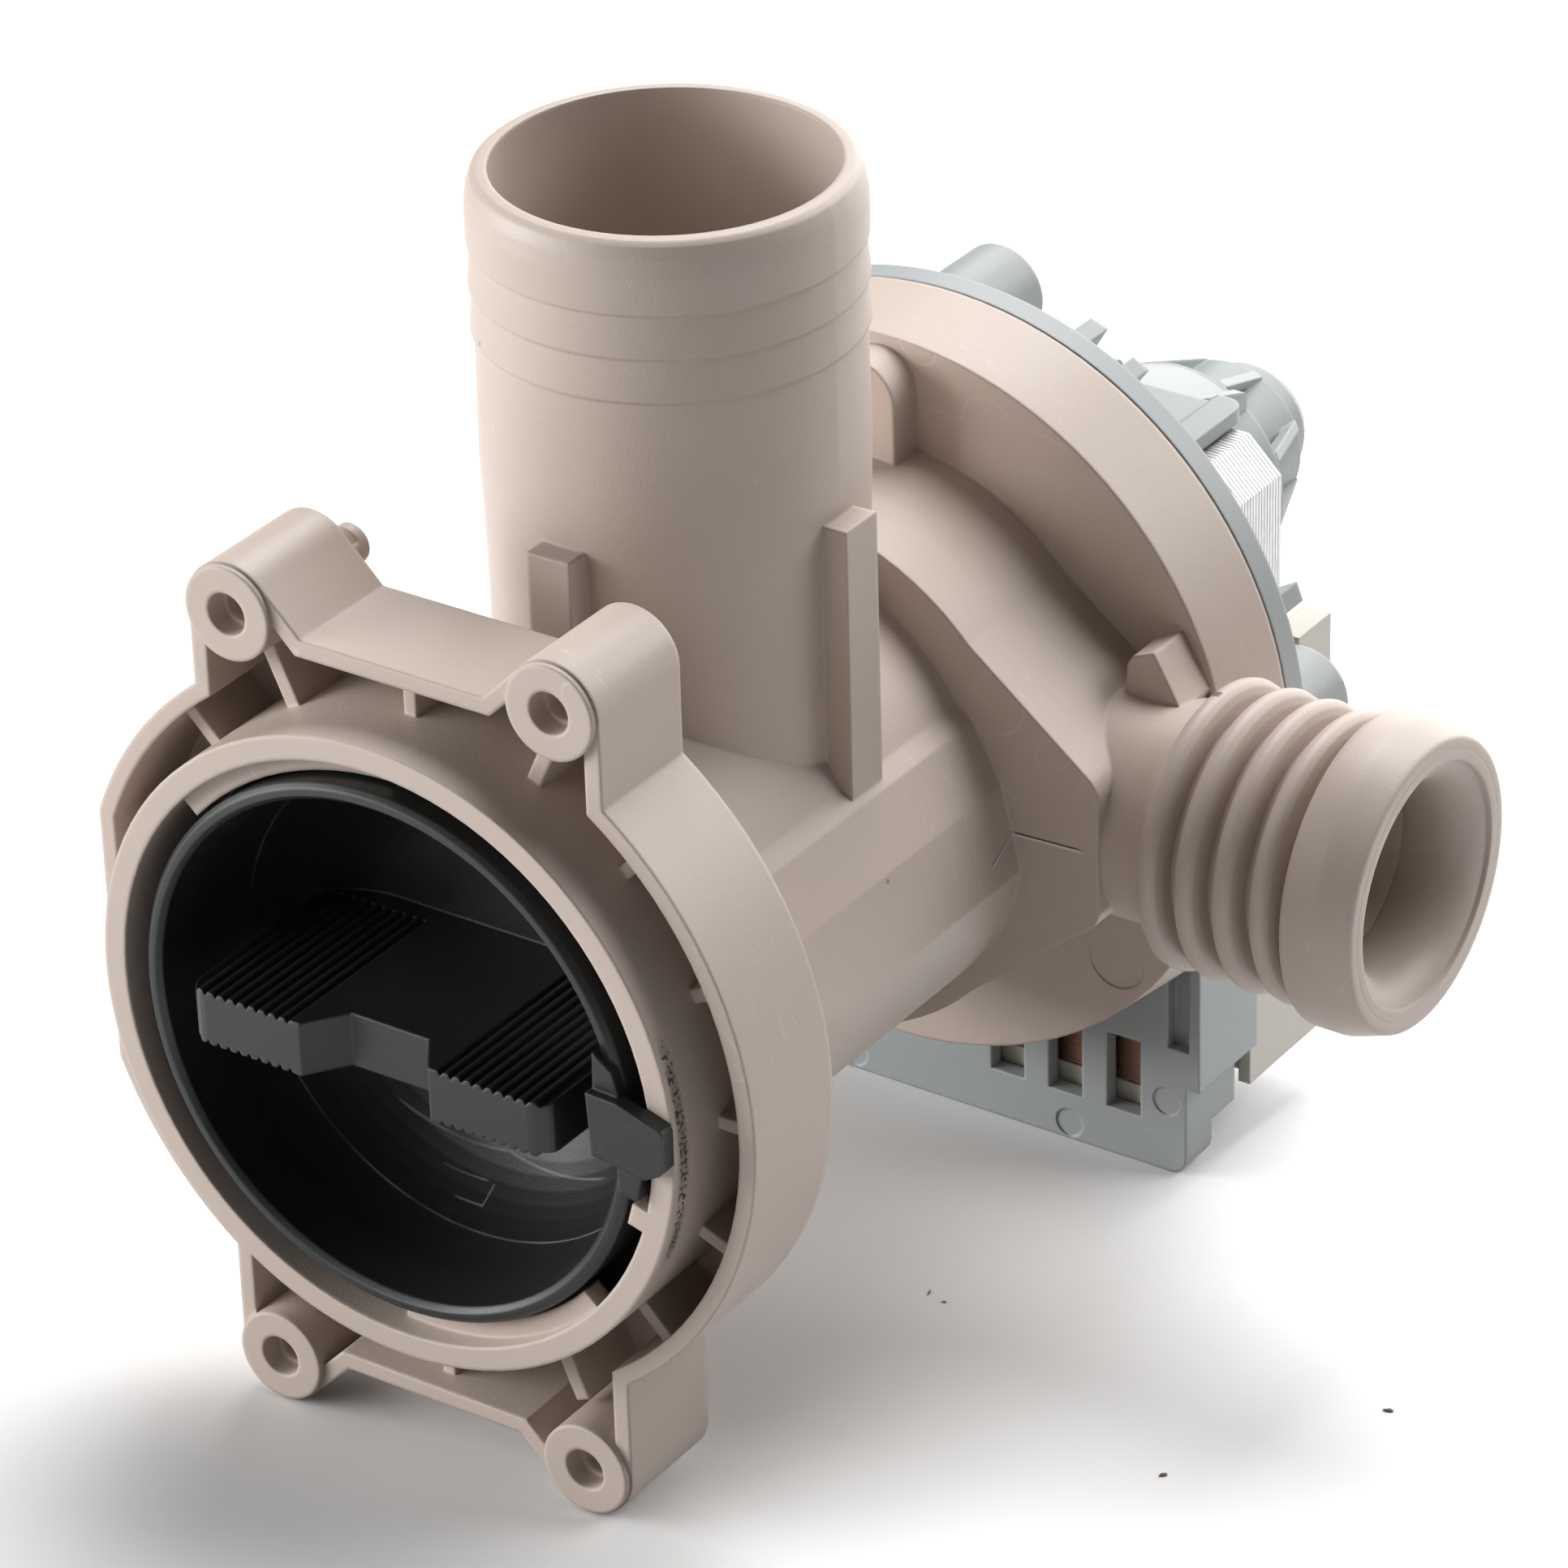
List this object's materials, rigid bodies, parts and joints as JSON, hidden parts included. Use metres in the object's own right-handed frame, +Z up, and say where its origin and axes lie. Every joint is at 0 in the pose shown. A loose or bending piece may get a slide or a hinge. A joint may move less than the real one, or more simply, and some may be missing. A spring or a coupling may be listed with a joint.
{
  "type": "washing machine drain pump",
  "caption": "Washer drain pump: tan housing with lint filter cap, upright inlet pipe, ribbed side outlet and a synchronous motor with open steel core behind.",
  "frame": {"origin": "centre of the four front fixing bosses, on the plane of their faces", "axes": "+X along the outlet, +Y from the filter cap to the motor, +Z up the inlet pipe"},
  "size_m": [0.1238, 0.1868, 0.1482],
  "materials": {
    "tan_plastic": "fine-grained moulded polypropylene",
    "black_plastic": "moulded, satin",
    "gray_plastic": "moulded, satin",
    "cream_nylon": "moulded glass-filled nylon",
    "rubber": "matt",
    "zinc_steel": "zinc plated",
    "ground_steel": "ground",
    "core_steel": "punched edges",
    "copper_wire": "enamelled wire",
    "tinned_brass": "tinned",
    "bronze": "sintered",
    "ferrite": "ground"
  },
  "bodies": {
    "pump": {"pump_housing": "tan_plastic", "volute_seal": "rubber", "motor_housing": "gray_plastic", "motor_screws": "zinc_steel", "core_plates": "core_steel", "core_rivets": "zinc_steel", "coil_frame": "cream_nylon", "winding_left": "copper_wire", "winding_right": "copper_wire", "rear_cover": "gray_plastic", "terminal_blades": "tinned_brass", "front_bearing": "bronze", "bearing_holder": "black_plastic", "shaft_seal": "rubber", "rear_bearing": "bronze", "bearing_rubber": "rubber", "front_washer": "cream_nylon", "rear_washer": "cream_nylon"},
    "shaft_set": {"shaft": "ground_steel", "shaft_driver": "black_plastic", "impeller": "black_plastic", "rear_clip": "zinc_steel"},
    "rotor": {"rotor_magnet": "ferrite", "rotor_hub": "cream_nylon"},
    "filter_carrier": {"filter_seal": "rubber"},
    "filter": {"filter_cap": "black_plastic", "filter_basket": "black_plastic"}
  },
  "joints": [
    {"name": "shaft_spin", "type": "hinge", "parent": "pump", "child": "shaft_set", "pos_m": [0, 0.09, 0], "axis": [0, 1, 0], "continuous": true},
    {"name": "rotor_lost_motion", "type": "hinge", "parent": "shaft_set", "child": "rotor", "pos_m": [0, 0.125, 0], "axis": [0, 1, 0], "range_deg": [0, 176]},
    {"name": "filter_lift", "type": "slide", "parent": "pump", "child": "filter_carrier", "axis": [0, -1, 0], "range_m": [0, 0.003]},
    {"name": "filter_turn", "type": "hinge", "parent": "filter_carrier", "child": "filter", "pos_m": [0, 0, 0.0012], "axis": [0, -1, 0], "range_deg": [0, 90]}
  ],
  "couplings": [
    {"joint": "filter_lift", "follows": "filter_turn", "m_per_rad": 0.0019099}
  ]
}
